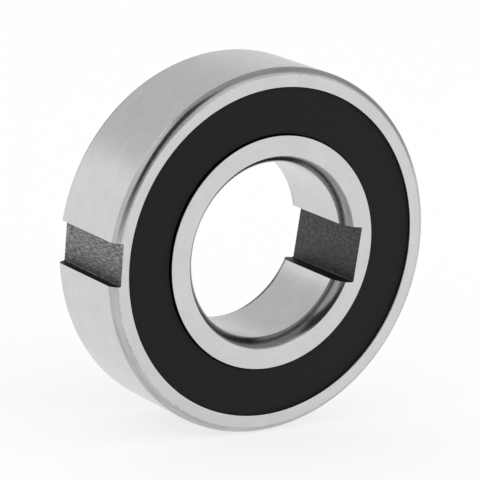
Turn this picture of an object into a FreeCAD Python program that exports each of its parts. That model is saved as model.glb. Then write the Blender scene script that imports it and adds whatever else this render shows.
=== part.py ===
"""Sprag clutch with a row of support rollers, built into a sealed ring pair of 25 x 52 x 15 mm.

Axis of rotation along Y, origin at the centre, the keyed front face towards -Y, millimetres.
The outer ring's keyway is on -X. The inner ring is drawn in the locked position.
"""
import FreeCAD, Part
import math
import os
import Sketcher

doc = FreeCAD.newDocument("sprag_clutch")
sheet = doc.addObject("Spreadsheet::Sheet", "sheet")

sizes = {
    # the ring pair, in the size that fits where a 25 x 52 x 15 ball bearing fits
    "bore_radius": 12.5,
    "inner_wall": 4.1,  # from the bore to the inner ring's sprag track
    "track_gap": 5.2,  # from there to the outer ring's track, which the sprags bridge
    "outer_wall": 4.2,  # from there to the outside, 26 mm from the axis
    "width": 15.0,
    "outer_corner": 1.13,  # turned round corner of the outside, as far in as across
    "outer_corner_break": 0.33,  # where that corner's two flats meet
    "bore_corner": 1.27,  # turned round corner of the bore, outwards
    "bore_corner_length": 2.0,  # and along the bore
    "bore_corner_break": 0.51,  # where that corner's two flats meet, outwards
    "bore_corner_break_length": 0.71,  # and back from the face
    # keyways
    "outer_key_width": 6.0,
    "outer_key_depth": 1.5,
    "inner_key_width": 8.0,
    "inner_key_depth": 2.0,
    "inner_key_angle": 5.0,  # degrees below +X at rest
    # seals
    "seal_recess": 0.4,
    "seal_thickness": 0.9,
    "seal_ledge": 1.55,  # from the sprag track out to the mouth that the seal snaps into
    "seal_undercut": 0.65,  # how much wider the seat is at the seal's back than at its mouth
    "seal_lip_gap": 0.3,  # round the inner ring, so that the seal never drags
    # row of support rollers, behind the front seal
    "roller_count": 12,
    "roller_length": 4.8,
    "roller_end_gap": 0.1,
    "running_gap": 0.02,  # between a roller or sprag and the steel it runs on
    "rib_width": 0.7,
    "rib_height": 0.42,
    "roller_cage_half": 1.2,  # half of the cage's thickness, in and out
    "roller_cage_ring": 0.7,
    "roller_pocket_gap": 0.1,
    "prong_setback": 0.1,
    "row_gap": 0.3,
    # row of sprags, in front of the rear seal
    "sprag_count": 16,
    "sprag_cam_radius": 2.9,
    "sprag_cam_offset": 0.175,  # along the track, outer cam one way and inner cam the other
    "sprag_head_half": 1.65,
    "sprag_waist_half": 1.15,
    "sprag_end_gap": 0.1,
    "sprag_cage_half": 0.6,
    "sprag_cage_end": 0.5,
    "sprag_window_gap": 0.3,
    "sprag_cage_fit": 0.05,  # round the cage's flange, inside the outer ring
    "cage_seal_gap": 0.3,
    # flat energising band that presses on all the sprags
    "band_drop": 1.35,  # from the outer ring's track in to the band's inside
    "band_thickness": 0.3,
    "band_width": 0.8,
    "band_gap": 0.25,
}
for row, (name, value) in enumerate(sizes.items(), start=1):
    sheet.set(f"A{row}", name)
    sheet.set(f"B{row}", str(value))
    sheet.setAlias(f"B{row}", name)
doc.recompute()

# places worked out from the sheet, as expressions; those along Y are distances from the middle plane
half_width = "(sheet.width / 2)"
half_gap = "(sheet.track_gap / 2)"
inner_track = "(sheet.bore_radius + sheet.inner_wall)"
pitch_radius = f"({inner_track} + {half_gap})"
outer_track = f"({inner_track} + sheet.track_gap)"
outer_radius = f"({outer_track} + sheet.outer_wall)"
seal_face = f"({half_width} - sheet.seal_recess)"
seal_back = f"({seal_face} - sheet.seal_thickness)"
seal_mouth = f"({outer_track} + sheet.seal_ledge)"
seal_seat = f"({seal_mouth} + sheet.seal_undercut)"
groove_front = f"(sheet.rib_width - {seal_back})"
groove_rear = f"({groove_front} + sheet.roller_length + 2 * sheet.roller_end_gap)"
roller_radius = f"({half_gap} + sheet.rib_height - sheet.running_gap)"
cage_turned_end = f"({groove_rear} + sheet.roller_cage_ring)"
sprag_cage_front = f"({cage_turned_end} + sheet.row_gap)"
sprag_cage_rear = f"({seal_back} - sheet.cage_seal_gap)"
window_front = f"({sprag_cage_front} + sheet.sprag_cage_end)"
window_rear = f"({sprag_cage_rear} - sheet.sprag_cage_end)"
sprag_rear = f"({window_rear} - sheet.sprag_end_gap)"
band_radius = f"({outer_track} - sheet.band_drop)"
key_overrun = 1.5  # how far a keyway's cut starts outside the ring, in key depths


def plane(body, role):
    return next(o for o in body.Origin.OriginFeatures if o.Role == role)


def new_body(label):
    body = doc.addObject("PartDesign::Body", label)
    body.Label = label
    return body


def sketch_on(body, name, role, distance="0"):
    """A sketch on one of the body's own planes, moved along its normal. XZ looks towards +Y."""
    sketch = body.newObject("Sketcher::SketchObject", name)
    sketch.AttachmentSupport = [(plane(body, role), "")]
    sketch.MapMode = "FlatFace"
    sketch.setExpression("AttachmentOffset.Base.z", f"({distance}) * 1mm")
    return sketch


def bind(sketch, constraint, name, formula):
    index = sketch.addConstraint(constraint)
    sketch.renameConstraint(index, name)
    sketch.setExpression(f"Constraints.{name}", formula)


def pin_point(sketch, edge, end, across, up, name):
    """Ties one end of an edge to its two coordinates, each a formula or None where it is left free."""
    at = sketch.getPoint(edge, end)
    if across:
        bind(sketch, Sketcher.Constraint("DistanceX", edge, end, at.x), f"{name}_across", across)
    if up:
        bind(sketch, Sketcher.Constraint("DistanceY", edge, end, at.y), f"{name}_up", up)


def outline(sketch, corners):
    """A closed outline of straight edges through corners given as pairs of formulas."""
    count = len(corners)
    turn = 2 * math.pi / count
    start = [FreeCAD.Vector(math.cos(turn * k), math.sin(turn * k), 0) for k in range(count)]
    for k in range(count):
        sketch.addGeometry(Part.LineSegment(start[k], start[(k + 1) % count]))
    for k, (across, up) in enumerate(corners):
        sketch.addConstraint(Sketcher.Constraint("Coincident", k, 2, (k + 1) % count, 1))
        pin_point(sketch, k, 1, across, up, f"corner_{k}")


def revolved(label, corners):
    """A ring: an outline of (radius, distance along Y) turned once round Y."""
    body = new_body(label)
    sketch = sketch_on(body, f"{label}_section", "XY_Plane")
    outline(sketch, corners)
    ring = body.newObject("PartDesign::Revolution", f"{label}_turned")
    ring.Profile = sketch
    ring.ReferenceAxis = (sketch, ["V_Axis"])
    ring.Angle = 360
    sketch.Visibility = False
    return body


def both_sides(side, groove):
    """A ring's section: one side's corners, the corners between the sides, and the same side mirrored."""
    front = [(radius, f"-{along}") for radius, along in side]
    return front + groove + side[::-1]


def keyway(body, from_radius, to_radius, width):
    """A straight keyway through the whole width, between two distances along X."""
    sketch = sketch_on(body, f"{body.Label}_keyway_section", "XZ_Plane")
    side = f"({width} / 2)"
    corners = [
        (from_radius, f"-{side}"),
        (to_radius, f"-{side}"),
        (to_radius, side),
        (from_radius, side),
    ]
    outline(sketch, corners)
    cut = body.newObject("PartDesign::Pocket", f"{body.Label}_keyway")
    cut.Profile = sketch
    cut.Type = "ThroughAll"
    cut.Midplane = True
    sketch.Visibility = False


def repeated(body, feature, count):
    """The feature repeated round Y, count times."""
    pattern = body.newObject("PartDesign::PolarPattern", f"{feature.Name}s")
    pattern.Originals = [feature]
    pattern.Axis = (plane(body, "Y_Axis"), [""])
    pattern.Angle = 360
    pattern.setExpression("Occurrences", count)
    body.Tip = pattern


def turned_to(body, degrees):
    """Turns a body round Y by a formula in degrees; +X goes down towards -Z."""
    body.Placement = FreeCAD.Placement(
        FreeCAD.Vector(0, 0, 0), FreeCAD.Rotation(FreeCAD.Vector(0, 1, 0), 90)
    )
    body.setExpression("Placement.Rotation.Angle", f"({degrees}) * 1deg")


def extruded(body, sketch, length):
    pad = body.newObject("PartDesign::Pad", f"{body.Label}_pad")
    pad.Profile = sketch
    pad.Midplane = True
    pad.setExpression("Length", f"({length}) * 1mm")
    sketch.Visibility = False


def roller_groove(track, floor):
    """The four corners of the roller row's groove, between its two ribs."""
    return [
        (track, groove_front),
        (floor, groove_front),
        (floor, groove_rear),
        (track, groove_rear),
    ]


def make_outer_ring():
    corner = "sheet.outer_corner"
    brk = "sheet.outer_corner_break"
    side = [
        (outer_radius, f"({half_width} - {corner})"),
        (f"({outer_radius} - {brk})", f"({half_width} - {brk})"),
        (f"({outer_radius} - {corner})", half_width),
        (seal_mouth, half_width),
        (seal_seat, seal_back),
        (outer_track, seal_back),
    ]
    floor = f"({outer_track} + sheet.rib_height)"
    body = revolved("outer_ring", both_sides(side, roller_groove(outer_track, floor)))
    outside = f"-({outer_radius} + {key_overrun} * sheet.outer_key_depth)"
    bottom = f"-({outer_radius} - sheet.outer_key_depth)"
    keyway(body, outside, bottom, "sheet.outer_key_width")


def make_inner_ring():
    side = [
        ("sheet.bore_radius", f"({half_width} - sheet.bore_corner_length)"),
        (
            "(sheet.bore_radius + sheet.bore_corner_break)",
            f"({half_width} - sheet.bore_corner_break_length)",
        ),
        ("(sheet.bore_radius + sheet.bore_corner)", half_width),
        (inner_track, half_width),
    ]
    floor = f"({inner_track} - sheet.rib_height)"
    body = revolved("inner_ring", both_sides(side, roller_groove(inner_track, floor)))
    inside = f"(sheet.bore_radius - {key_overrun} * sheet.inner_key_depth)"
    bottom = "(sheet.bore_radius + sheet.inner_key_depth)"
    keyway(body, inside, bottom, "sheet.inner_key_width")
    turned_to(body, "sheet.inner_key_angle")


def make_seal(end, sign):
    """A flat seal, rubber moulded over a steel disc. sign is - at the front and empty at the rear."""
    lip = f"({inner_track} + sheet.seal_lip_gap)"
    depth = f"({half_width} - {seal_back})"
    edge = f"({seal_mouth} + sheet.seal_undercut * sheet.seal_recess / {depth})"
    corners = [(lip, seal_face), (edge, seal_face), (seal_seat, seal_back), (lip, seal_back)]
    revolved(f"{end}_seal", [(radius, sign + along) for radius, along in corners])


def make_roller_cage():
    """A comb cage: a ring behind the rollers with prongs between them."""
    inside = f"({pitch_radius} - sheet.roller_cage_half)"
    outside = f"({pitch_radius} + sheet.roller_cage_half)"
    prong_end = f"({groove_front} + sheet.roller_end_gap + sheet.prong_setback)"
    corners = [
        (inside, prong_end),
        (outside, prong_end),
        (outside, cage_turned_end),
        (inside, cage_turned_end),
    ]
    body = revolved("roller_cage", corners)
    sketch = sketch_on(body, "roller_pocket_section", "XZ_Plane", f"-{groove_rear}")
    circle = Part.Circle(FreeCAD.Vector(1, 0, 0), FreeCAD.Vector(0, 0, 1), 1)
    hole = sketch.addGeometry(circle)
    pin_point(sketch, hole, 3, pitch_radius, None, "middle")
    sketch.addConstraint(Sketcher.Constraint("PointOnObject", hole, 3, -1))
    radius = f"({roller_radius} + sheet.roller_pocket_gap)"
    bind(sketch, Sketcher.Constraint("Radius", hole, 1.0), "radius", radius)
    cut = body.newObject("PartDesign::Pocket", "roller_pocket")
    cut.Profile = sketch
    cut.Type = "ThroughAll"
    cut.Reversed = True
    sketch.Visibility = False
    repeated(body, cut, "sheet.roller_count")


def make_roller(number, count):
    body = new_body(f"roller_{number:02d}")
    middle = f"(({groove_front} + {groove_rear}) / 2)"
    sketch = sketch_on(body, f"{body.Label}_section", "XZ_Plane", f"-{middle}")
    circle = Part.Circle(FreeCAD.Vector(1, 0, 0), FreeCAD.Vector(0, 0, 1), 1)
    hoop = sketch.addGeometry(circle)
    pin_point(sketch, hoop, 3, pitch_radius, None, "middle")
    sketch.addConstraint(Sketcher.Constraint("PointOnObject", hoop, 3, -1))
    bind(sketch, Sketcher.Constraint("Radius", hoop, 1.0), "radius", roller_radius)
    extruded(body, sketch, "sheet.roller_length")
    turned_to(body, f"{number - 1} * 360 / {count}")


def make_sprag_cage():
    """A sleeve with a window for each sprag's waist, and a rear flange that fits the outer ring."""
    inside = f"({pitch_radius} - sheet.sprag_cage_half)"
    outside = f"({pitch_radius} + sheet.sprag_cage_half)"
    flange = f"({outer_track} - sheet.sprag_cage_fit)"
    corners = [
        (inside, sprag_cage_front),
        (outside, sprag_cage_front),
        (outside, window_rear),
        (flange, window_rear),
        (flange, sprag_cage_rear),
        (inside, sprag_cage_rear),
    ]
    body = revolved("sprag_cage", corners)
    sketch = sketch_on(body, "sprag_window_section", "YZ_Plane")
    side = "(sheet.sprag_waist_half + sheet.sprag_window_gap)"
    corners = [
        (window_front, f"-{side}"),
        (window_rear, f"-{side}"),
        (window_rear, side),
        (window_front, side),
    ]
    outline(sketch, corners)
    cut = body.newObject("PartDesign::Pocket", "sprag_window")
    cut.Profile = sketch
    cut.Type = "ThroughAll"
    cut.Reversed = True
    sketch.Visibility = False
    repeated(body, cut, "sheet.sprag_count")


def cam(sketch, middle, tilt, name):
    """One rounded head of a sprag, an arc about its own cam centre. tilt is -1 inside, 1 outside."""
    radius = sizes["sprag_cam_radius"]
    half = math.asin(sizes["sprag_head_half"] / radius)
    turn = 0 if tilt > 0 else math.pi
    pitch = sizes["bore_radius"] + sizes["inner_wall"] + sizes["track_gap"] / 2
    circle = Part.Circle(FreeCAD.Vector(pitch, 0, 0), FreeCAD.Vector(0, 0, 1), radius)
    arc = sketch.addGeometry(Part.ArcOfCircle(circle, turn - half, turn + half))
    offset = f"({tilt} * sheet.sprag_cam_offset)"
    head = f"{tilt} * sheet.sprag_head_half"
    pin_point(sketch, arc, 3, middle, offset, f"{name}_middle")
    round_head = Sketcher.Constraint("Radius", arc, radius)
    bind(sketch, round_head, f"{name}_radius", "sheet.sprag_cam_radius")
    pin_point(sketch, arc, 1, None, f"({offset} - {head})", f"{name}_start")
    pin_point(sketch, arc, 2, None, f"({offset} + {head})", f"{name}_end")
    return arc


def waist(sketch, from_arc, to_arc, side, first, name):
    """The narrow side of a sprag between its two heads. first is 1 where it starts at the outer head."""
    reach = f"{first} * (sheet.sprag_cage_half + sheet.sprag_end_gap)"
    near = (f"({pitch_radius} + {reach})", f"({side} * sheet.sprag_waist_half)")
    far = (f"({pitch_radius} - {reach})", f"({side} * sheet.sprag_waist_half)")
    start = sketch.getPoint(from_arc, 2)
    end = sketch.getPoint(to_arc, 1)
    rough = [start + (end - start) * (k / 3) for k in range(4)]
    lines = [sketch.addGeometry(Part.LineSegment(rough[k], rough[k + 1])) for k in range(3)]
    sketch.addConstraint(Sketcher.Constraint("Coincident", from_arc, 2, lines[0], 1))
    sketch.addConstraint(Sketcher.Constraint("Coincident", lines[0], 2, lines[1], 1))
    sketch.addConstraint(Sketcher.Constraint("Coincident", lines[1], 2, lines[2], 1))
    sketch.addConstraint(Sketcher.Constraint("Coincident", lines[2], 2, to_arc, 1))
    pin_point(sketch, lines[1], 1, *near, f"{name}_near")
    pin_point(sketch, lines[1], 2, *far, f"{name}_far")


def make_sprag(number, count):
    """A sprag standing wedged between the two tracks: its outer cam leans one way, its inner cam the other."""
    body = new_body(f"sprag_{number:02d}")
    middle = f"(({window_front} + {window_rear}) / 2)"
    sketch = sketch_on(body, f"{body.Label}_section", "XZ_Plane", f"-{middle}")
    lift = f"({half_gap} - sheet.running_gap - sheet.sprag_cam_radius)"
    outer = cam(sketch, f"({pitch_radius} + {lift})", 1, "outer")
    inner = cam(sketch, f"({pitch_radius} - {lift})", -1, "inner")
    waist(sketch, outer, inner, 1, 1, "upper")
    waist(sketch, inner, outer, -1, -1, "lower")
    extruded(body, sketch, f"{window_rear} - {window_front} - 2 * sheet.sprag_end_gap")
    slot = sketch_on(body, f"{body.Label}_slot_section", "XZ_Plane", f"-{sprag_rear}")
    low = f"({band_radius} - sheet.band_gap)"
    high = f"({band_radius} + sheet.band_thickness + sheet.band_gap)"
    side = "(2 * sheet.sprag_head_half)"
    outline(slot, [(low, f"-{side}"), (high, f"-{side}"), (high, side), (low, side)])
    cut = body.newObject("PartDesign::Pocket", f"{body.Label}_slot")
    cut.Profile = slot
    cut.setExpression("Length", "(sheet.band_width + sheet.band_gap) * 1mm")
    cut.Reversed = True
    slot.Visibility = False
    turned_to(body, f"{number - 1} * 360 / {count}")


def make_band():
    """The closed flat band in the sprags' slots, which keeps every sprag against both tracks."""
    outside = f"({band_radius} + sheet.band_thickness)"
    corners = [
        (band_radius, f"({sprag_rear} - sheet.band_width)"),
        (outside, f"({sprag_rear} - sheet.band_width)"),
        (outside, sprag_rear),
        (band_radius, sprag_rear),
    ]
    revolved("sprag_spring", corners)


make_outer_ring()
make_inner_ring()
make_seal("front", "-")
make_seal("rear", "")
make_roller_cage()
for number in range(1, int(sheet.roller_count) + 1):
    make_roller(number, "sheet.roller_count")
make_sprag_cage()
for number in range(1, int(sheet.sprag_count) + 1):
    make_sprag(number, "sheet.sprag_count")
make_band()
doc.recompute()

# every object is sound, every cut took something away, and every piece is one valid solid
for item in doc.Objects:
    if "Invalid" in item.State or "Error" in item.State:
        raise RuntimeError(f"{item.Label} did not compute: {item.State}")
    if item.TypeId in ("PartDesign::Pocket", "PartDesign::PolarPattern"):
        if item.Shape.Volume >= item.BaseFeature.Shape.Volume:
            raise RuntimeError(f"{item.Label} cuts nothing")
bodies = [item for item in doc.Objects if item.TypeId == "PartDesign::Body"]
for body in bodies:
    if body.Shape.isNull() or not body.Shape.isValid() or len(body.Shape.Solids) != 1:
        raise RuntimeError(f"{body.Label} is not one valid solid")

os.makedirs("parts", exist_ok=True)
for body in bodies:
    body.Shape.exportStep(f"parts/{body.Label}.step")
print(f"{len(bodies)} pieces written")
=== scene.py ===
import math

import bpy
from mathutils import Matrix, Vector


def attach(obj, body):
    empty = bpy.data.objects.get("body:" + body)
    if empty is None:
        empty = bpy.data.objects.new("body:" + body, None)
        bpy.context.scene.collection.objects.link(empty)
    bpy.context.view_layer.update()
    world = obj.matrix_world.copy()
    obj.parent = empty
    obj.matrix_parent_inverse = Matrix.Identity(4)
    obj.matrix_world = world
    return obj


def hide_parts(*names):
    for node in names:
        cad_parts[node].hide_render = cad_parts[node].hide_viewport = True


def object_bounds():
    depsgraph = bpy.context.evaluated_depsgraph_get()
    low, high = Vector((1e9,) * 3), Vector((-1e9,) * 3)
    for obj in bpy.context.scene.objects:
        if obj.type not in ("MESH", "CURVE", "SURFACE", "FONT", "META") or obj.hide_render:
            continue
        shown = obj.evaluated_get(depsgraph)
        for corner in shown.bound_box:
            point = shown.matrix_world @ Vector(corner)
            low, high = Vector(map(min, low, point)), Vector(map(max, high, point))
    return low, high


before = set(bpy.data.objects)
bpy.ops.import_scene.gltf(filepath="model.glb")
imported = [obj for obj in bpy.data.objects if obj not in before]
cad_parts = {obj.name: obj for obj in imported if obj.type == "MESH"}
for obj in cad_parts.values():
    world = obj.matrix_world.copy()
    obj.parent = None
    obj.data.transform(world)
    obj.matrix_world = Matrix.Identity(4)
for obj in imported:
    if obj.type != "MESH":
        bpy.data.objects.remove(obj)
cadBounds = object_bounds()
mm = 0.001
turnSteps = 256  # sides of a turned piece in sight, so that no facet shows
hiddenSteps = 192  # and of one that the seals hide
noiseRange = (0.3, 0.7)  # where nearly all of a noise's values lie
cutterReach = 3  # mm, how far a cutter stands out of what it cuts
shortReach = 1  # mm, the same where other walls are near


def deselectAll():
    bpy.ops.object.select_all(action="DESELECT")


def editMode():
    bpy.ops.object.mode_set(mode="EDIT")


def objectMode():
    bpy.ops.object.mode_set(mode="OBJECT")


def selectAllMesh():
    bpy.ops.mesh.select_all(action="SELECT")


def selectOnly(piece):
    deselectAll()
    piece.select_set(True)
    bpy.context.view_layer.objects.active = piece


# sRGB hex to the linear colour that a socket takes
def colour(hexText):
    def channel(pair):
        v = int(pair, 16) / 255
        return v / 12.92 if v <= 0.04045 else ((v + 0.055) / 1.055) ** 2.4

    return (*[channel(hexText[k : k + 2]) for k in (1, 3, 5)], 1)


def grey(level):
    return (level, level, level, 1)


# adds a node. Each value is for one of its own settings or for a socket, and a value that
# is an output feeds the socket. A node stands for its first output, and stops are the
# places and colours of a ramp
def addNode(tree, kind, values=None):
    node = tree.nodes.new(kind)
    for name, value in (values or {}).items():
        if isinstance(value, bpy.types.Node):
            value = value.outputs[0]
        if name == "stops":
            points = node.color_ramp.elements
            for point, (place, tone) in zip(points, (value[0], value[-1])):
                point.position, point.color = place, tone
            for place, tone in value[1:-1]:
                points.new(place).color = tone
        elif isinstance(value, bpy.types.NodeSocket):
            tree.links.new(value, node.inputs[name])
        elif isinstance(name, str) and hasattr(node, name):
            setattr(node, name, value)
        else:
            node.inputs[name].default_value = value
    return node


print("stage: camera and studio")

# the photograph's view: a long lens from the left, a little above the axis
photoView = {
    "azimuth": 34.58,  # degrees left of the front
    "elevation": 13.43,
    "roll": 4.55,
    "distance": 412.8,  # mm, from the middle of the front face along the view
    "aimRight": 4.67,  # mm, how far that middle lies right of the picture's own
    "aimUp": -1.83,
    "lens": 224.3,  # mm
    "sensor": 36,  # mm wide
}


def makeCamera(v):
    turn, rise, roll = [math.radians(v[k]) for k in ("azimuth", "elevation", "roll")]
    level = math.cos(rise)
    back = Vector((-math.sin(turn) * level, -math.cos(turn) * level, math.sin(rise)))
    right = Vector((0, 0, 1)).cross(back).normalized()
    up = back.cross(right)
    right, up = (
        math.cos(roll) * right + math.sin(roll) * up,
        math.cos(roll) * up - math.sin(roll) * right,
    )
    frontFace = Vector((0, cadBounds[0].y, 0))
    place = frontFace + (back * v["distance"] - right * v["aimRight"] - up * v["aimUp"]) * mm
    bpy.ops.object.camera_add(location=place)
    camera = bpy.context.object
    camera.name = "camera"
    turned = Matrix((right, up, back)).transposed().to_4x4()
    camera.matrix_world = Matrix.Translation(place) @ turned
    camera.data.lens = v["lens"]
    camera.data.sensor_width = v["sensor"]
    bpy.context.scene.camera = camera


makeCamera(photoView)

studio = {
    "floorSize": 4.0,  # m
    "floorColour": "#ADADAD",
    "floorGlow": 0.66,  # seen by the camera and in reflections, so that the floor is white
    "fill": 0.75,  # the world's light on the object
    "lampSize": 0.9,  # m
    "lampPower": 0.9,  # W
    "lamps": {"lampLeft": (-0.9, -0.3, 0.9), "lampRight": (0.9, -0.5, 0.8)},  # m
}


def whiteWherever(tree):
    # 1 for rays from the camera and rays that metal or glass reflects or lets through
    path = addNode(tree, "ShaderNodeLightPath").outputs
    either = {"operation": "MAXIMUM", 0: path["Is Camera Ray"], 1: path["Is Glossy Ray"]}
    seen = addNode(tree, "ShaderNodeMath", either)
    either = {"operation": "MAXIMUM", 0: seen, 1: path["Is Transmission Ray"]}
    return addNode(tree, "ShaderNodeMath", either)


def makeWorld(v):
    world = bpy.data.worlds.new("studio")
    world.use_nodes = True
    bpy.context.scene.world = world
    tree = world.node_tree
    tree.nodes.clear()
    dim = addNode(tree, "ShaderNodeBackground", {"Color": grey(1), "Strength": v["fill"]})
    white = addNode(tree, "ShaderNodeBackground", {"Color": grey(1), "Strength": 1})
    mixed = addNode(tree, "ShaderNodeMixShader", {0: whiteWherever(tree), 1: dim, 2: white})
    addNode(tree, "ShaderNodeOutputWorld", {"Surface": mixed})


def makeFloor(v):
    deselectAll()
    low = cadBounds[0].z
    bpy.ops.mesh.primitive_plane_add(size=v["floorSize"], location=(0, 0, low))
    floor = bpy.context.object
    floor.name = "floor"
    material = bpy.data.materials.new("floorPaper")
    material.use_nodes = True
    tree = material.node_tree
    tree.nodes.clear()
    dimmed = {"operation": "MULTIPLY", 0: whiteWherever(tree), 1: v["floorGlow"]}
    glow = addNode(tree, "ShaderNodeMath", dimmed)
    paper = addNode(tree, "ShaderNodeBsdfDiffuse", {"Color": colour(v["floorColour"])})
    light = addNode(tree, "ShaderNodeEmission", {"Strength": glow})
    added = addNode(tree, "ShaderNodeAddShader", {0: paper, 1: light})
    addNode(tree, "ShaderNodeOutputMaterial", {"Surface": added})
    floor.data.materials.append(material)


# the lamps light the rubber and the floor, and the metal reflects the cards and the white instead
def addLamp(name, place, size, power):
    deselectAll()
    bpy.ops.object.light_add(type="AREA", location=place)
    lamp = bpy.context.object
    lamp.name = name
    lamp.rotation_euler = (-Vector(place)).to_track_quat("-Z", "Y").to_euler()
    lamp.data.size = size
    lamp.data.energy = power
    lamp.visible_glossy = False


makeWorld(studio)
makeFloor(studio)
for lampName, lampPlace in studio["lamps"].items():
    addLamp(lampName, lampPlace, studio["lampSize"], studio["lampPower"])

# grey cards round the object, as set up for polished metal, placed and sized in m: they
# show in the metal and nowhere else
greyCards = {
    "cardAbove": {"place": (0.2, 0, 0.85), "size": (1.1, 1.5), "tone": "#BCBCBC"},
    "cardBehindCamera": {"place": (-0.45, -1.05, 0.12), "size": (1.6, 0.9), "tone": "#ACACAC"},
    "cardOverCamera": {"place": (-0.3, -0.56, 0.57), "size": (0.54, 1.06), "tone": "#343434"},
    "cardRight": {"place": (0.93, 0.2, 0.35), "size": (1.15, 0.72), "tone": "#B8B8B8"},
    "cardHighBehind": {"place": (0.05, 0.8, 0.66), "size": (1.6, 0.55), "tone": "#D6D6D6"},
    "cardLowBehind": {"place": (0.2, 0.9, 0.13), "size": (0.42, 0.26), "tone": "#303030"},
    "cardRightBehind": {"place": (0.54, 0.7, 0.17), "size": (0.42, 0.34), "tone": "#E8E8E8"},
}


def makeCards(cards):
    for name, v in cards.items():
        deselectAll()
        facing = (-Vector(v["place"])).to_track_quat("-Z", "Y").to_euler()
        bpy.ops.mesh.primitive_plane_add(size=1, location=v["place"], rotation=facing)
        card = bpy.context.object
        card.name = name
        card.scale = (*v["size"], 1)
        material = bpy.data.materials.new(name + "Grey")
        material.use_nodes = True
        tree = material.node_tree
        tree.nodes.clear()
        tone = addNode(tree, "ShaderNodeEmission", {"Color": colour(v["tone"])})
        addNode(tree, "ShaderNodeOutputMaterial", {"Surface": tone})
        card.data.materials.append(material)
        card.visible_camera = card.visible_diffuse = card.visible_shadow = False


makeCards(greyCards)

print("stage: materials")


# where a point of a turned piece lies: its direction round Y, and in mm its place along Y
# and its radius
def turnedPlace(tree):
    place = addNode(tree, "ShaderNodeTexCoord").outputs["Object"]
    inMm = {"operation": "SCALE", 0: place, "Scale": 1 / mm}
    parts = addNode(tree, "ShaderNodeVectorMath", inMm)
    parts = addNode(tree, "ShaderNodeSeparateXYZ", {0: parts}).outputs
    flat = addNode(tree, "ShaderNodeCombineXYZ", {0: parts[0], 2: parts[2]})
    radius = addNode(tree, "ShaderNodeVectorMath", {"operation": "LENGTH", 0: flat})
    around = addNode(tree, "ShaderNodeVectorMath", {"operation": "NORMALIZE", 0: flat})
    return around, parts[1], radius.outputs["Value"]


# marks drawn out round the axis, of a length round it and a spacing across it in mm
def turnedMarks(tree, place, length, spacing, detail):
    around, along, radius = place
    middleRadius = 20  # mm, between the bore's and the outside's
    turn = {"operation": "SCALE", 0: around, "Scale": middleRadius / length}
    turn = addNode(tree, "ShaderNodeVectorMath", turn)
    perMark = {"operation": "MULTIPLY", 0: along, 1: 1 / spacing}
    lift = addNode(tree, "ShaderNodeMath", perMark)
    lift = addNode(tree, "ShaderNodeCombineXYZ", {1: lift})
    vector = addNode(tree, "ShaderNodeVectorMath", {"operation": "ADD", 0: turn, 1: lift})
    perMark = {"operation": "MULTIPLY", 0: radius, 1: 1 / spacing}
    outward = addNode(tree, "ShaderNodeMath", perMark)
    noise = {"noise_dimensions": "4D", "Scale": 1, "Detail": detail, "Roughness": 0.6}
    return addNode(tree, "ShaderNodeTexNoise", {**noise, "Vector": vector, "W": outward})


def newMaterial(name, values):
    material = bpy.data.materials.new(name)
    material.use_nodes = True
    tree = material.node_tree
    tree.nodes.clear()
    shader = addNode(tree, "ShaderNodeBsdfPrincipled", values)
    addNode(tree, "ShaderNodeOutputMaterial", {"Surface": shader})
    return material, tree, shader


# hardened bearing steel: ground on its faces and its seat, which mirror the studio with a
# faint haze, and left as turned on the round corners between them, duller, where the
# grinding ends in a ragged line
outerSurface = {
    "halfWidth": 7.5,
    "seatRadius": 26.0,
    "groundTones": ("#CCCCCC", "#D3D3D3"),
    "turnedTones": ("#A6A6A6", "#C6C6C6"),
    "groundRough": 0.24,
    "turnedRough": 0.22,
    "lineSpacing": 0.12,  # mm; real wheel marks are finer, too fine to show
    "lineLength": 3.0,  # mm, round the axis
    "hatchLength": 1.5,  # mm, of the marks of the face wheel at the corner's edge, outwards
    "hatchSpacing": 0.22,  # mm, round the axis
    "turnedSpacing": 0.2,  # mm, the feed of the turning tool, coarsened to show
    "turnedLength": 5.0,  # mm
    "raggedFace": 0.1,  # mm in from the face
    "raggedSeat": 0.04,  # mm in from the seat
    "fadeFace": 0.01,  # mm, over which the ground surface turns into the turned one
    "fadeSeat": 0.01,
    "markDepth": 0.0004,  # mm
    "patch": 3.0,  # mm
    "patchTones": (0.97, 1.02),
    "patchNoise": (0.35, 0.65),  # the noise's values that give those tones
}
innerSurface = {
    **outerSurface,
    "seatRadius": 12.5,
    # the turned corners in the bore: the duller turned finish is the steel's own, and the extra
    # darkness over the outer ring's is painted shade of the bore
    "turnedTones": ("#7D7D7D", "#A4A4A4"),
    "raggedFace": 0.06,
    "raggedSeat": 0.02,
    "fadeFace": 0.07,
}


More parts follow.
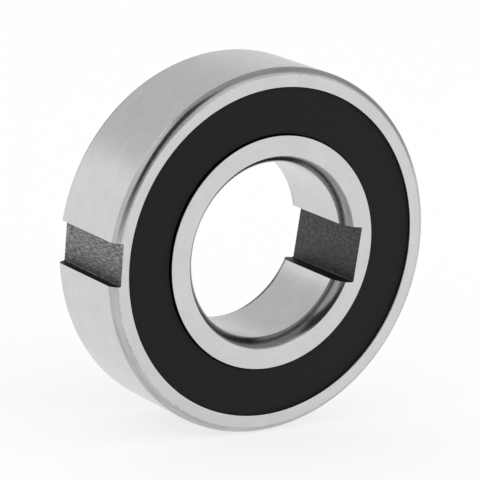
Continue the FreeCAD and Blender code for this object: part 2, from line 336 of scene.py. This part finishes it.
def makeBearingSteel(name, v):
    material, tree, shader = newMaterial(name, {"Metallic": 1.0})
    place = turnedPlace(tree)
    lines = turnedMarks(tree, place, v["lineLength"], v["lineSpacing"], 2)
    hatch = turnedMarks(tree, place, v["hatchSpacing"], v["hatchLength"], 2)
    turned = turnedMarks(tree, place, v["turnedLength"], v["turnedSpacing"], 3)
    # a point is ground where it lies less deep under the face, or under the seat, than a
    # limit that the hatch makes ragged
    along = addNode(tree, "ShaderNodeMath", {"operation": "ABSOLUTE", 0: place[1]})
    masks = []
    for flat, level, ragged, fade in (
        (along, v["halfWidth"], v["raggedFace"], v["fadeFace"]),
        (place[2], v["seatRadius"], v["raggedSeat"], v["fadeSeat"]),
    ):
        depth = addNode(tree, "ShaderNodeMath", {"operation": "SUBTRACT", 0: flat, 1: level})
        depth = addNode(tree, "ShaderNodeMath", {"operation": "ABSOLUTE", 0: depth})
        leastHatch, hatchSpread = 0.3, 0.4
        slope = ragged / hatchSpread
        limit = {"operation": "MULTIPLY_ADD", 0: hatch, 1: slope, 2: fade - leastHatch * slope}
        limit = addNode(tree, "ShaderNodeMath", limit)
        limit = addNode(tree, "ShaderNodeMath", {"operation": "MAXIMUM", 0: limit, 1: fade})
        left = addNode(tree, "ShaderNodeMath", {"operation": "SUBTRACT", 0: limit, 1: depth})
        mask = {"operation": "MULTIPLY_ADD", "use_clamp": True, 0: left, 1: 1 / fade, 2: 0.5}
        masks.append(addNode(tree, "ShaderNodeMath", mask))
    either = {"operation": "MAXIMUM", 0: masks[0], 1: masks[1]}
    ground = addNode(tree, "ShaderNodeMath", either)

    marks = addNode(tree, "ShaderNodeMix", {"Factor": ground, "A": turned, "B": lines})
    tones = []
    for dark, light in (v["turnedTones"], v["groundTones"]):
        stops = list(zip(noiseRange, (colour(dark), colour(light))))
        tones.append(addNode(tree, "ShaderNodeValToRGB", {"stops": stops, 0: marks}))
    # the mix's colours go in by number
    blend = {"data_type": "RGBA", 0: ground, 6: tones[0], 7: tones[1]}
    tone = addNode(tree, "ShaderNodeMix", blend).outputs[2]
    # broad faint patches, as an oiled and wiped surface has
    flatPlace = addNode(tree, "ShaderNodeTexCoord").outputs["Object"]
    oil = {"Scale": 1 / (v["patch"] * mm), "Detail": 4, "Roughness": 0.6, "Vector": flatPlace}
    oil = addNode(tree, "ShaderNodeTexNoise", oil)
    low, high = v["patchTones"]
    least, most = v["patchNoise"]
    dim = {"From Min": least, "From Max": most, "To Min": low, "To Max": high, "Value": oil}
    dim = addNode(tree, "ShaderNodeMapRange", dim)
    patched = {"operation": "SCALE", 0: tone, "Scale": dim}
    patched = addNode(tree, "ShaderNodeVectorMath", patched)
    tree.links.new(patched.outputs[0], shader.inputs["Base Color"])
    rough = {"Factor": ground, "A": v["turnedRough"], "B": v["groundRough"]}
    rough = addNode(tree, "ShaderNodeMix", rough)
    tree.links.new(rough.outputs[0], shader.inputs["Roughness"])
    raised = {"Strength": 1.0, "Distance": v["markDepth"] * mm, "Height": marks}
    raised = addNode(tree, "ShaderNodeBump", raised)
    tree.links.new(raised.outputs[0], shader.inputs["Normal"])
    return material


# the same steel where a keyway was slotted through it: dull, dark and speckled, and darker in the
# bore from painted shade
outerSlot = {
    "tones": ("#4A4A4A", "#7A7A7A", "#B4B4B4"),
    "rough": 0.5,
    "speckle": (0.14, 1.1, 0.15),  # mm, drawn out along the stroke of the tool
    "speckleDepth": 0.055,  # mm
    "shade": (-3.2, 0.4, 0.42),  # mm from and to along Z, and how dark the painted shade makes the lower side
}
# painted shade: the keyway in the bore has darker tones than the outer one, and darkens further
# towards the bottom
shadedInnerSlot = {
    "tones": ("#404040", "#505050", "#646464"),
    "rough": 0.5,
    "speckle": (0.35, 0.55, 0.35),
    "speckleDepth": 0.03,
    "shade": (-6, -1, 0.7),
}
# painted shade: the keyway's side walls have the darkest tones of the slotted steel
shadedSlotWall = {
    "tones": ("#1E1E1E", "#303030", "#464646"),
    "rough": 0.5,
    "speckle": (0.3, 0.9, 0.3),
    "speckleDepth": 0.02,
    "shade": (-1, 1, 1),
}
slotStops = (0.34, 0.5, 0.68)  # the noise's values that give a slot's three tones


def makeSlottedSteel(name, v):
    material, tree, shader = newMaterial(name, {"Metallic": 1.0, "Roughness": v["rough"]})
    place = addNode(tree, "ShaderNodeTexCoord").outputs["Object"]
    stretch = {"Vector": place, "Scale": [1 / (size * mm) for size in v["speckle"]]}
    placed = addNode(tree, "ShaderNodeMapping", stretch)
    noise = {"Scale": 1, "Detail": 3, "Roughness": 0.65, "Vector": placed}
    speckle = addNode(tree, "ShaderNodeTexNoise", noise)
    stops = [(at, colour(tone)) for at, tone in zip(slotStops, v["tones"])]
    tone = addNode(tree, "ShaderNodeValToRGB", {"stops": stops, 0: speckle})
    # painted shade: the colour is darkened towards low Z, over the span that the shade entry gives
    low, high, darkest = v["shade"]
    up = addNode(tree, "ShaderNodeSeparateXYZ", {0: place}).outputs[2]
    ends = {"From Min": low * mm, "From Max": high * mm, "To Min": darkest, "To Max": 1}
    shade = addNode(tree, "ShaderNodeMapRange", {"Value": up, **ends})
    dimmed = addNode(tree, "ShaderNodeVectorMath", {"operation": "SCALE", 0: tone, "Scale": shade})
    tree.links.new(dimmed.outputs[0], shader.inputs["Base Color"])
    raised = {"Strength": 1.0, "Distance": v["speckleDepth"] * mm, "Height": speckle}
    raised = addNode(tree, "ShaderNodeBump", raised)
    tree.links.new(raised.outputs[0], shader.inputs["Normal"])
    return material


# an even, matt moulded or pressed surface, from one fine grain
def makeGrained(name, v):
    values = {"Metallic": v["metal"], "Roughness": v["rough"], "Specular IOR Level": v["shine"]}
    material, tree, shader = newMaterial(name, values)
    place = addNode(tree, "ShaderNodeTexCoord").outputs["Object"]
    noise = {"Scale": 1 / (v["grain"] * mm), "Detail": 3, "Roughness": 0.6, "Vector": place}
    grain = addNode(tree, "ShaderNodeTexNoise", noise)
    stops = list(zip(noiseRange, (colour(v["dark"]), colour(v["light"]))))
    tone = addNode(tree, "ShaderNodeValToRGB", {"stops": stops, 0: grain})
    tree.links.new(tone.outputs[0], shader.inputs["Base Color"])
    raised = {"Strength": 1.0, "Distance": v["grainDepth"] * mm, "Height": grain}
    raised = addNode(tree, "ShaderNodeBump", raised)
    tree.links.new(raised.outputs[0], shader.inputs["Normal"])
    return material


# nitrile rubber from a spark-eroded mould: near black and matt, with a very fine even grain
nitrileRubber = {
    "metal": 0,
    "dark": "#1A1A1A",
    "light": "#232323",
    "rough": 0.62,
    "shine": 0.2,
    "grain": 0.25,  # mm
    "grainDepth": 0.01,  # mm
}

# rollers superfinished almost to a mirror
rollerSurface = {
    "metal": 1,
    "dark": "#CFCFCF",
    "light": "#D9D9D9",
    "rough": 0.13,
    "shine": 0.5,
    "grain": 0.4,
    "grainDepth": 0.0004,
}
# sprags tumbled after hardening, which leaves them grey and softly rounded
spragSurface = {
    "metal": 1,
    "dark": "#8F8F8F",
    "light": "#A8A8A8",
    "rough": 0.38,
    "shine": 0.5,
    "grain": 0.3,
    "grainDepth": 0.004,
}
# cold rolled spring strip, tempered to a light straw colour
bandSurface = {
    "metal": 1,
    "dark": "#AFA58F",
    "light": "#C0B8A4",
    "rough": 0.28,
    "shine": 0.5,
    "grain": 0.5,
    "grainDepth": 0.001,
}
# deep-drawn sheet with a thin grey phosphate, which holds the oil and dulls it
cageSurface = {
    "metal": 1,
    "dark": "#5C5E60",
    "light": "#747678",
    "rough": 0.45,
    "shine": 0.5,
    "grain": 0.25,
    "grainDepth": 0.004,
}
# glass-filled polyamide, natural colour: creamy, with the sheen and the slight mottle of a
# moulded skin
polyamide = {
    "metal": 0,
    "dark": "#CFC6AE",
    "light": "#DDD5C0",
    "rough": 0.42,
    "shine": 0.4,
    "grain": 0.6,
    "grainDepth": 0.006,
}

outerSteel = makeBearingSteel("outerRingGroundSteel", outerSurface)
innerSteel = makeBearingSteel("innerRingGroundSteel", innerSurface)
outerSlotSteel = makeSlottedSteel("outerKeywaySlottedSteel", outerSlot)
shadedInnerSlotSteel = makeSlottedSteel("innerKeywayShadedSteel", shadedInnerSlot)
shadedSlotWallSteel = makeSlottedSteel("keywayWallShadedSteel", shadedSlotWall)
sealRubber = makeGrained("sealNitrileMoulded", nitrileRubber)
rollerSteel = makeGrained("rollerSteelPolished", rollerSurface)
spragSteel = makeGrained("spragSteelTumbled", spragSurface)
springSteel = makeGrained("bandSpringSteelRolled", bandSurface)
cageSteel = makeGrained("spragCageSteelPressed", cageSurface)
cagePolyamide = makeGrained("rollerCagePolyamideMoulded", polyamide)

print("stage: rings")


# a section of a turned piece starts as one vertex, at a radius and a place along Y in mm
def startSection(name, radius, along):
    deselectAll()
    bpy.ops.mesh.primitive_plane_add(size=1 * mm, location=(0, 0, 0))
    piece = bpy.context.object
    piece.name = name
    editMode()
    selectAllMesh()
    bpy.ops.mesh.merge(type="CENTER")
    bpy.ops.transform.translate(value=(radius * mm, along * mm, 0))
    return piece


# draws the section on by a straight run
def run(outward, along):
    step = {"value": (outward * mm, along * mm, 0)}
    bpy.ops.mesh.extrude_vertices_move(TRANSFORM_OT_translate=step)


guard = 0.04  # mm, a short run beside an arc, which keeps the flat next to it flat


# draws a flat between two arcs: a straight run with a short one at each end
def flatRun(outward, along):
    short = [math.copysign(guard, step) if step else 0 for step in (outward, along)]
    run(*short)
    run(outward, along)
    run(*short)


# breaks an edge by two runs, of which the first goes mainly along or mainly outward
def breakEdge(outward, along, alongFirst):
    shares = (0.3, 0.7) if alongFirst else (0.7, 0.3)
    for outwardShare, alongShare in (shares, shares[::-1]):
        run(outward * outwardShare, along * alongShare)


# draws the section on by an arc about a centre; positive turns from +X towards +Y
def arc(centreRadius, centreAlong, degrees, steps):
    bpy.ops.mesh.spin(
        steps=steps,
        angle=-math.radians(degrees),
        center=(centreRadius * mm, centreAlong * mm, 0),
        axis=(0, 0, 1),
    )


# closes the section and turns it once round Y
def turnSection(piece, steps=turnSteps):
    mergeDistance = 0.0005 * mm
    selectAllMesh()
    bpy.ops.mesh.remove_doubles(threshold=mergeDistance)
    selectAllMesh()
    bpy.ops.mesh.spin(steps=steps, angle=2 * math.pi, center=(0, 0, 0), axis=(0, 1, 0))
    selectAllMesh()
    bpy.ops.mesh.remove_doubles(threshold=mergeDistance)
    selectAllMesh()
    bpy.ops.mesh.normals_make_consistent(inside=False)
    objectMode()


def smooth(piece, degrees=25):
    selectOnly(piece)
    bpy.ops.object.shade_smooth_by_angle(angle=math.radians(degrees))


def finishPiece(piece, material, body, slot, *replaced):
    if not piece.data.materials:
        piece.data.materials.append(material)
    smooth(piece)
    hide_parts(*replaced)
    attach(piece, body)


# takes one piece's shape out of another's
def cutAway(piece, cutter):
    selectOnly(piece)
    bpy.ops.object.modifier_add(type="BOOLEAN")
    taken = piece.modifiers[-1]
    taken.operation = "DIFFERENCE"
    taken.solver = "EXACT"
    taken.material_mode = "TRANSFER"
    taken.object = cutter
    bpy.ops.object.modifier_apply(modifier=taken.name)
    bpy.data.objects.remove(cutter)


# a copy of a piece, with a mesh of its own, turned round Y from +X towards -Z
def turnedCopy(piece, name, degrees):
    copy = piece.copy()
    copy.data = piece.data.copy()
    copy.name = name
    bpy.context.collection.objects.link(copy)
    selectOnly(copy)
    editMode()
    selectAllMesh()
    turn = {"value": -math.radians(degrees), "orient_axis": "Y", "orient_type": "GLOBAL"}
    bpy.ops.transform.rotate(**turn, center_override=(0, 0, 0))
    objectMode()
    return copy


# a bar with all its edges rounded, between two corners in mm, repeated round Y as one cutter
def barsRound(fromCorner, toCorner, rounding, count):
    deselectAll()
    bpy.ops.mesh.primitive_cube_add(size=1, location=(0, 0, 0))
    bar = bpy.context.object
    editMode()
    selectAllMesh()
    size = [abs(far - near) * mm for near, far in zip(fromCorner, toCorner)]
    middle = [(far + near) / 2 * mm for near, far in zip(fromCorner, toCorner)]
    bpy.ops.transform.resize(value=size)
    bpy.ops.transform.translate(value=middle)
    bpy.ops.mesh.bevel(offset=rounding * mm, segments=3, affect="EDGES")
    objectMode()
    bars = [bar] + [turnedCopy(bar, "bar", k * 360 / count) for k in range(1, count)]
    joinAll(bars)
    return bar


def joinAll(pieces):
    deselectAll()
    for piece in pieces:
        piece.select_set(True)
    bpy.context.view_layer.objects.active = pieces[0]
    if len(pieces) > 1:
        bpy.ops.object.join()


# cuts a keyway right through a ring, between two distances along X, with rounded corners
# at its floor
def cutKeyway(piece, fromRadius, toRadius, width, cornerRadius, degreesDown, floorSteel):
    deselectAll()
    middle = ((fromRadius + toRadius) / 2 * mm, 0, 0)
    bpy.ops.mesh.primitive_cube_add(size=1, location=(0, 0, 0))
    cutter = bpy.context.object
    editMode()
    selectAllMesh()
    length = 40 * mm  # more than a ring is wide
    bpy.ops.transform.resize(value=(abs(toRadius - fromRadius) * mm, length, width * mm))
    bpy.ops.transform.translate(value=middle)
    objectMode()
    # the two long edges at the bottom of the keyway
    bottom = toRadius * mm
    touching = 0.01 * mm
    for edge in cutter.data.edges:
        ends = [cutter.data.vertices[k].co for k in edge.vertices]
        atBottom = all(abs(end.x - bottom) < touching for end in ends)
        edge.select = atBottom and abs(ends[0].y - ends[1].y) > length / 2
    for face in cutter.data.polygons:
        face.select = False
    for vertex in cutter.data.vertices:
        vertex.select = False
    editMode()
    bpy.ops.mesh.select_mode(type="EDGE")
    bpy.ops.mesh.bevel(offset=cornerRadius * mm, segments=4, affect="EDGES")
    bpy.ops.mesh.select_mode(type="VERT")
    objectMode()
    # the side walls take the slotted steel with painted shade
    for steel in (floorSteel, shadedSlotWallSteel):
        cutter.data.materials.append(steel)
    wallNormal = 0.8  # along Z, above which a face is one of the two side walls
    for face in cutter.data.polygons:
        face.material_index = 1 if abs(face.normal.z) > wallNormal else 0
    cutter.rotation_euler.y = math.radians(degreesDown)
    selectOnly(cutter)
    bpy.ops.object.transform_apply(location=True, rotation=True, scale=True)
    cutAway(piece, cutter)


# outer ring: round outside corners, and a seat for each seal that narrows towards its mouth
outerRing = {
    "outside": 26.0,
    "halfWidth": 7.5,
    "corner": 1.13,
    # degrees that are left of the turned corner: grinding cuts off its ends and leaves creases
    "cornerTurn": 64,
    "cornerSteps": 10,
    "edge": 0.12,  # broken edge at the mouth of the seal seat
    "mouth": 23.35,
    "seat": 24.0,
    "seatAlong": 6.2,
    "track": 21.8,
    "grooveFloor": 22.22,
    "grooveFront": -5.5,
    "grooveRear": -0.5,
    "keyDepth": 1.5,
    "keyWidth": 6.0,
    "keyCorner": 0.2,
}
crease = 9  # degrees, above which an edge of a ring looks sharp


def makeOuterRing(v):
    half, corner, edge = v["halfWidth"], v["corner"], v["edge"]
    turn = v["cornerTurn"]
    short = math.radians(90 - turn) / 2
    centre = corner * math.cos(short) / (math.cos(short) - math.sin(short))
    flat = v["outside"] - corner - v["mouth"] - edge - 2 * guard
    piece = startSection("outerRingGround", v["track"], -v["seatAlong"])
    run(v["seat"] - v["track"], 0)
    run(v["mouth"] - v["seat"], -(half - edge - v["seatAlong"]))
    breakEdge(edge, -edge, True)
    flatRun(flat, 0)
    arc(v["outside"] - centre, -half + centre, turn, v["cornerSteps"])
    flatRun(0, 2 * (half - corner - guard))
    arc(v["outside"] - centre, half - centre, turn, v["cornerSteps"])
    flatRun(-flat, 0)
    breakEdge(-edge, -edge, False)
    run(v["seat"] - v["mouth"], -(half - edge - v["seatAlong"]))
    run(v["track"] - v["seat"], 0)
    run(0, -(v["seatAlong"] - v["grooveRear"]))
    run(v["grooveFloor"] - v["track"], 0)
    run(0, v["grooveFront"] - v["grooveRear"])
    run(v["track"] - v["grooveFloor"], 0)
    run(0, -(v["seatAlong"] + v["grooveFront"]))
    turnSection(piece)
    piece.data.materials.append(outerSteel)
    bottom = v["outside"] - v["keyDepth"]
    keyway = (v["keyWidth"], v["keyCorner"], 0, outerSlotSteel)
    cutKeyway(piece, -v["outside"] - cutterReach, -bottom, *keyway)
    finishPiece(piece, outerSteel, "outer_ring", "ring_steel", "outer_ring")
    smooth(piece, crease)


# inner ring: the bore's corners are longer along the bore than across, and slightly round
innerRing = {
    "bore": 12.5,
    "halfWidth": 7.5,
    "cornerAcross": 1.27,
    "cornerAlong": 2.0,
    "cornerTurn": 42,  # degrees
    "cornerSteps": 10,
    "edge": 0.07,
    "track": 16.6,
    "grooveFloor": 16.18,
    "grooveFront": -5.5,
    "grooveRear": -0.5,
    "keyDepth": 2.0,
    "keyWidth": 8.0,
    "keyCorner": 0.25,
    "keyDown": 5.0,  # degrees below +X
}


def makeInnerRing(v):
    half, edge, across, along = v["halfWidth"], v["edge"], v["cornerAcross"], v["cornerAlong"]
    # an arc that meets the bore and the face at edges
    turn = math.radians(v["cornerTurn"])
    cornerRadius = math.hypot(across, along) / (2 * math.sin(turn / 2))
    start = math.atan2(across, along) - turn / 2
    centre = along + cornerRadius * math.sin(start)
    flat = v["track"] - edge - v["bore"] - across - 2 * guard
    middle = v["bore"] + cornerRadius * math.cos(start)
    piece = startSection("innerRingGround", v["bore"], half - along)
    flatRun(0, -2 * (half - along - guard))
    arc(middle, -half + centre, v["cornerTurn"], v["cornerSteps"])
    flatRun(flat, 0)
    breakEdge(edge, edge, False)
    run(0, half - edge + v["grooveFront"])
    run(v["grooveFloor"] - v["track"], 0)
    run(0, v["grooveRear"] - v["grooveFront"])
    run(v["track"] - v["grooveFloor"], 0)
    run(0, half - edge - v["grooveRear"])
    breakEdge(-edge, edge, True)
    flatRun(-flat, 0)
    arc(middle, half - centre, v["cornerTurn"], v["cornerSteps"])
    turnSection(piece)
    piece.data.materials.append(innerSteel)
    bottom = v["bore"] + v["keyDepth"]
    keyway = (v["keyWidth"], v["keyCorner"], v["keyDown"], shadedInnerSlotSteel)
    cutKeyway(piece, v["bore"] - cutterReach, bottom, *keyway)
    finishPiece(piece, innerSteel, "inner_ring", "ring_steel", "inner_ring")
    smooth(piece, crease)


makeOuterRing(outerRing)
makeInnerRing(innerRing)

print("stage: seals")

# a flat rubber face on a steel disc, with a thin lip that all but closes the gap to the inner ring
seal = {
    "lip": 16.64,
    "lipThick": 0.35,
    "inside": 16.76,
    "face": 7.1,
    "back": 6.2,
    "seat": 24.0,
    "faceEdge": 23.55,
    "round": 0.12,
    "roundSteps": 5,
}


def makeSeal(name, node, sign, v):
    piece = startSection(name, v["lip"], sign * v["back"])
    inside, rounding = v["inside"], v["round"]
    tall = v["face"] - v["back"]
    lean = v["seat"] - v["faceEdge"]
    run(0, sign * v["lipThick"])
    run(inside - v["lip"], 0)
    run(0, sign * (tall - v["lipThick"] - rounding))
    arc(inside + rounding, sign * (v["face"] - rounding), -sign * 90, v["roundSteps"])
    flatRun(v["faceEdge"] - inside - 2 * rounding - 2 * guard, 0)
    breakEdge(rounding, -sign * rounding, False)
    run(lean, -sign * (tall - rounding))
    run(v["lip"] - v["seat"], 0)
    turnSection(piece)
    finishPiece(piece, sealRubber, "outer_ring", "seal_rubber", node)


makeSeal("frontSealRubber", "front_seal", -1, seal)
makeSeal("rearSealRubber", "rear_seal", 1, seal)

print("stage: roller row")

# plain rollers with rounded ends, in a comb cage moulded in one piece
rollerRow = {
    "count": 12,
    "pitch": 19.2,
    "radius": 3.0,
    "front": -5.4,
    "rear": -0.6,
    "endRound": 0.15,
    "endSteps": 4,
    "cageInside": 18.0,
    "cageOutside": 20.4,
    "cageFront": -5.3,
    "cageRear": 0.2,
    "cageRound": 0.12,
    "cageSteps": 3,
    "pocketRadius": 3.1,
    "pocketRear": -0.5,
    "steps": 64,
}


def moveMesh(piece, across, along):
    selectOnly(piece)
    editMode()
    selectAllMesh()
    bpy.ops.transform.translate(value=(across * mm, along * mm, 0))
    objectMode()


# the pieces of a row, from the one at +X round towards -Z, each on a body of its own
def finishRow(piece, count, kind, look, material, slot):
    for k in range(count):
        name = f"{kind}{k + 1:02d}{look}"
        one = piece if k == 0 else turnedCopy(piece, name, k * 360 / count)
        node = f"{kind}_{k + 1:02d}"
        finishPiece(one, material, node, slot, node)


def makeRollers(v):
    rounding = v["endRound"]
    end = v["radius"] - rounding - guard
    piece = startSection("roller01Ground", 0, v["front"])
    run(end, 0)
    run(guard, 0)
    arc(v["radius"] - rounding, v["front"] + rounding, 90, v["endSteps"])
    flatRun(0, v["rear"] - v["front"] - 2 * rounding - 2 * guard)
    arc(v["radius"] - rounding, v["rear"] - rounding, 90, v["endSteps"])
    run(-guard, 0)
    run(-end, 0)
    turnSection(piece, v["steps"])
    moveMesh(piece, v["pitch"], 0)
    piece.data.materials.append(rollerSteel)
    finishRow(piece, v["count"], "roller", "Ground", rollerSteel, "roller_steel")


def makeRollerCage(v):
    inside, outside, rounding = v["cageInside"], v["cageOutside"], v["cageRound"]
    wide = outside - inside - 2 * rounding
    long = v["cageRear"] - v["cageFront"] - 2 * rounding
    piece = startSection("rollerCageMoulded", inside + rounding, v["cageFront"])
    run(wide, 0)
    arc(outside - rounding, v["cageFront"] + rounding, 90, v["cageSteps"])
    run(0, long)
    arc(outside - rounding, v["cageRear"] - rounding, 90, v["cageSteps"])
    run(-wide, 0)
    arc(inside + rounding, v["cageRear"] - rounding, 90, v["cageSteps"])
    run(0, -long)
    arc(inside + rounding, v["cageFront"] + rounding, 90, v["cageSteps"])
    turnSection(piece, hiddenSteps)
    cutters = []
    for k in range(v["count"]):
        deselectAll()
        depth = 10  # mm, of a cutter that comes in from the front
        angle = 2 * math.pi * k / v["count"]
        place = Vector((math.cos(angle), 0, -math.sin(angle))) * v["pitch"] * mm
        place.y = (v["pocketRear"] - depth / 2) * mm
        size = {"vertices": v["steps"], "radius": v["pocketRadius"] * mm, "depth": depth * mm}
        bpy.ops.mesh.primitive_cylinder_add(**size, location=place, rotation=(math.pi / 2, 0, 0))
        cutters.append(bpy.context.object)
    joinAll(cutters)
    cutAway(piece, cutters[0])
    piece.data.materials.clear()
    finishPiece(piece, cagePolyamide, "roller_cage", "cage_polyamide", "roller_cage")


makeRollers(rollerRow)
makeRollerCage(rollerRow)

print("stage: sprag row")

# a pressed sleeve with a window for each sprag's waist, the sprags, and the flat band in
# their slots
spragCage = {
    "count": 16,
    "inside": 18.6,
    "outside": 19.8,
    "flange": 21.75,
    "front": 0.5,
    "flangeFront": 5.4,
    "rear": 5.9,
    "bend": 0.3,
    "bendSteps": 5,
    "edge": 0.08,
    "windowFront": 1.0,
    "windowRear": 5.4,
    "windowHalf": 1.45,
    "windowRound": 0.2,
}
sprag = {
    "count": 16,
    "pitch": 19.2,
    "camRadius": 2.9,
    "camLift": -0.32,  # from the pitch out to the outer cam's middle
    "camOffset": 0.175,
    "camSteps": 12,
    "headHalf": 1.65,
    "waistHalf": 1.15,
    "waistReach": 0.7,
    "front": 1.1,
    "rear": 5.3,
    "edge": 0.08,
    "slotInside": 20.2,
    "slotOutside": 21.0,
    "slotFront": 4.25,
    "slotRound": 0.1,
}
band = {"inside": 20.45, "outside": 20.75, "front": 4.5, "rear": 5.3, "edge": 0.06}


def makeSpragCage(v):
    edge, bend = v["edge"], v["bend"]
    piece = startSection("spragCagePressed", v["inside"], v["front"] + edge)
    run(edge, -edge)
    run(v["outside"] - v["inside"] - 2 * edge, 0)
    run(edge, edge)
    run(0, v["flangeFront"] - v["front"] - edge)
    run(v["flange"] - v["outside"] - edge, 0)
    run(edge, edge)
    run(0, v["rear"] - v["flangeFront"] - 2 * edge)
    run(-edge, edge)
    run(v["inside"] + bend - v["flange"] + edge, 0)
    arc(v["inside"] + bend, v["rear"] - bend, 90, v["bendSteps"])
    run(0, v["front"] + edge - v["rear"] + bend)
    turnSection(piece, hiddenSteps)
    near = (v["inside"] - shortReach, v["windowFront"], -v["windowHalf"])
    far = (v["outside"] + shortReach, v["windowRear"], v["windowHalf"])
    cutAway(piece, barsRound(near, far, v["windowRound"], v["count"]))
    piece.data.materials.clear()
    finishPiece(piece, cageSteel, "outer_ring", "cage_steel", "sprag_cage")


# drawn as an outline of its radius and its height, then given its thickness and laid along Y
def makeSprags(v):
    half = math.degrees(math.asin(v["headHalf"] / v["camRadius"]))
    reach = v["camRadius"] * math.cos(math.radians(half)) + v["camLift"]
    high, low = v["headHalf"] + v["camOffset"], v["headHalf"] - v["camOffset"]
    taper = reach - v["waistReach"]
    piece = startSection("sprag01Hardened", v["pitch"] + reach, -low)
    arc(v["pitch"] + v["camLift"], v["camOffset"], 2 * half, v["camSteps"])
    run(-taper, v["waistHalf"] - high)
    run(-2 * v["waistReach"], 0)
    run(-taper, low - v["waistHalf"])
    arc(v["pitch"] - v["camLift"], -v["camOffset"], 2 * half, v["camSteps"])
    run(taper, high - v["waistHalf"])
    run(2 * v["waistReach"], 0)
    run(taper, v["waistHalf"] - low)
    mergeDistance = 0.001 * mm
    selectAllMesh()
    bpy.ops.mesh.remove_doubles(threshold=mergeDistance)
    selectAllMesh()
    bpy.ops.mesh.edge_face_add()
    thick = {"value": (0, 0, (v["rear"] - v["front"]) * mm)}
    bpy.ops.mesh.extrude_region_move(TRANSFORM_OT_translate=thick)
    selectAllMesh()
    bpy.ops.mesh.normals_make_consistent(inside=False)
    objectMode()
    piece.rotation_euler.x = math.pi / 2
    piece.location.y = v["rear"] * mm
    bpy.ops.object.transform_apply(location=True, rotation=True, scale=True)
    bpy.ops.object.modifier_add(type="BEVEL")
    bevel = piece.modifiers[-1]
    bevel.width = v["edge"] * mm
    bevel.segments = 2
    bevel.limit_method = "ANGLE"
    bpy.ops.object.modifier_apply(modifier=bevel.name)
    near = (v["slotInside"], v["slotFront"], -cutterReach)
    far = (v["slotOutside"], v["rear"] + shortReach, cutterReach)
    cutAway(piece, barsRound(near, far, v["slotRound"], 1))
    piece.data.materials.clear()
    piece.data.materials.append(spragSteel)
    finishRow(piece, v["count"], "sprag", "Hardened", spragSteel, "sprag_steel")


def makeBand(v):
    edge = v["edge"]
    piece = startSection("spragBandDrawn", v["inside"], v["front"] + edge)
    run(edge, -edge)
    run(v["outside"] - v["inside"] - 2 * edge, 0)
    run(edge, edge)
    run(0, v["rear"] - v["front"] - 2 * edge)
    run(-edge, edge)
    run(v["inside"] - v["outside"] + 2 * edge, 0)
    run(-edge, -edge)
    run(0, v["front"] - v["rear"] + 2 * edge)
    turnSection(piece, hiddenSteps)
    finishPiece(piece, springSteel, "outer_ring", "spring_steel", "sprag_spring")


makeSpragCage(spragCage)
makeSprags(sprag)
makeBand(band)

bpy.context.scene.view_settings.view_transform = "Standard"
